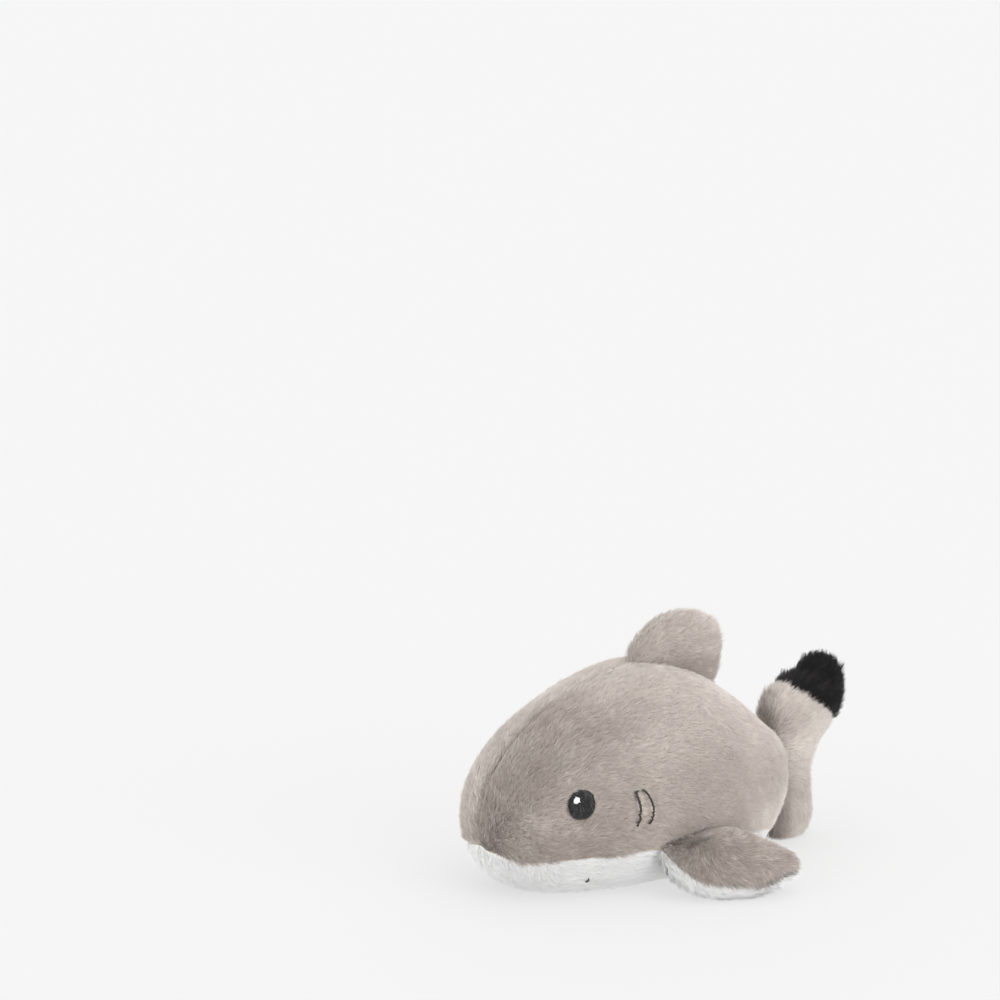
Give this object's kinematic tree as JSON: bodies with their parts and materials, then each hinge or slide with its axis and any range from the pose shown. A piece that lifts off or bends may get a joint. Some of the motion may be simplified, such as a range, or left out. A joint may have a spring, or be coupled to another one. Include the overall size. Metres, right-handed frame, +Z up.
{
  "type": "plush shark",
  "caption": "Small stuffed shark with a grey furry back, white belly, embroidered eyes, soft fins that flop and an upright black-tipped tail fin.",
  "frame": {"origin": "middle of the flat patch of the belly that the toy lies on", "axes": "+Z up, -Y towards the nose, +Y towards the tail, +X towards the shark's own left side"},
  "size_m": [0.119, 0.1721, 0.0966],
  "materials": {
    "grey_fur": "short grey fur fabric",
    "white_fur": "short white fur fabric",
    "black_fur": "black fur fabric with longer pile",
    "stuffing": "polyester fibre filling",
    "black_thread": "glossy embroidery thread",
    "white_thread": "embroidery thread",
    "dark_thread": "sewing thread"
  },
  "bodies": {
    "torso": {"side_panel_left": "grey_fur", "side_panel_right": "grey_fur", "belly_panel": "white_fur", "body_stuffing": "stuffing", "eye_left": "black_thread", "eye_right": "black_thread", "eye_glint_left": "white_thread", "eye_glint_right": "white_thread", "gill_stitch_front_left": "dark_thread", "gill_stitch_rear_left": "dark_thread", "gill_stitch_front_right": "dark_thread", "gill_stitch_rear_right": "dark_thread", "mouth_stitch": "dark_thread", "closing_stitch": "white_thread"},
    "dorsal_fin": {"dorsal_fin_left": "grey_fur", "dorsal_fin_right": "grey_fur", "dorsal_stuffing": "stuffing"},
    "pectoral_left": {"pectoral_top_left": "grey_fur", "pectoral_under_left": "white_fur", "pectoral_stuffing_left": "stuffing"},
    "pectoral_right": {"pectoral_top_right": "grey_fur", "pectoral_under_right": "white_fur", "pectoral_stuffing_right": "stuffing"},
    "tail_root": {"tail_root_left": "grey_fur", "tail_root_right": "grey_fur", "tail_root_stuffing": "stuffing"},
    "tail_fin": {"tail_fin_left": "grey_fur", "tail_fin_right": "grey_fur", "tail_tip_left": "black_fur", "tail_tip_right": "black_fur", "tail_stuffing": "stuffing"}
  },
  "joints": [
    {"name": "dorsal_fin_flop", "type": "hinge", "parent": "torso", "child": "dorsal_fin", "pos_m": [-0.0003, 0.013, 0.0736], "axis": [-0.0287, 0.9574, -0.2872], "range_deg": [-20, 20], "stiffness_Nm_per_rad": 0.02},
    {"name": "pectoral_left_flap", "type": "hinge", "parent": "torso", "child": "pectoral_left", "pos_m": [0.0365, 0.0022, 0.0193], "axis": [0, -1, 0], "range_deg": [0, 45], "stiffness_Nm_per_rad": 0.02},
    {"name": "pectoral_right_flap", "type": "hinge", "parent": "torso", "child": "pectoral_right", "pos_m": [-0.0365, 0.0022, 0.0193], "axis": [0, 1, 0], "range_deg": [0, 45], "stiffness_Nm_per_rad": 0.02},
    {"name": "tail_sway", "type": "hinge", "parent": "torso", "child": "tail_root", "pos_m": [-0.00603, 0.06099, 0.03], "axis": [0, 0, 1], "range_deg": [-20, 20], "stiffness_Nm_per_rad": 0.02},
    {"name": "tail_fin_fold", "type": "hinge", "parent": "tail_root", "child": "tail_fin", "pos_m": [-0.00923, 0.07234, 0.035], "axis": [0, 0, 1], "range_deg": [-25, 25], "stiffness_Nm_per_rad": 0.02}
  ]
}
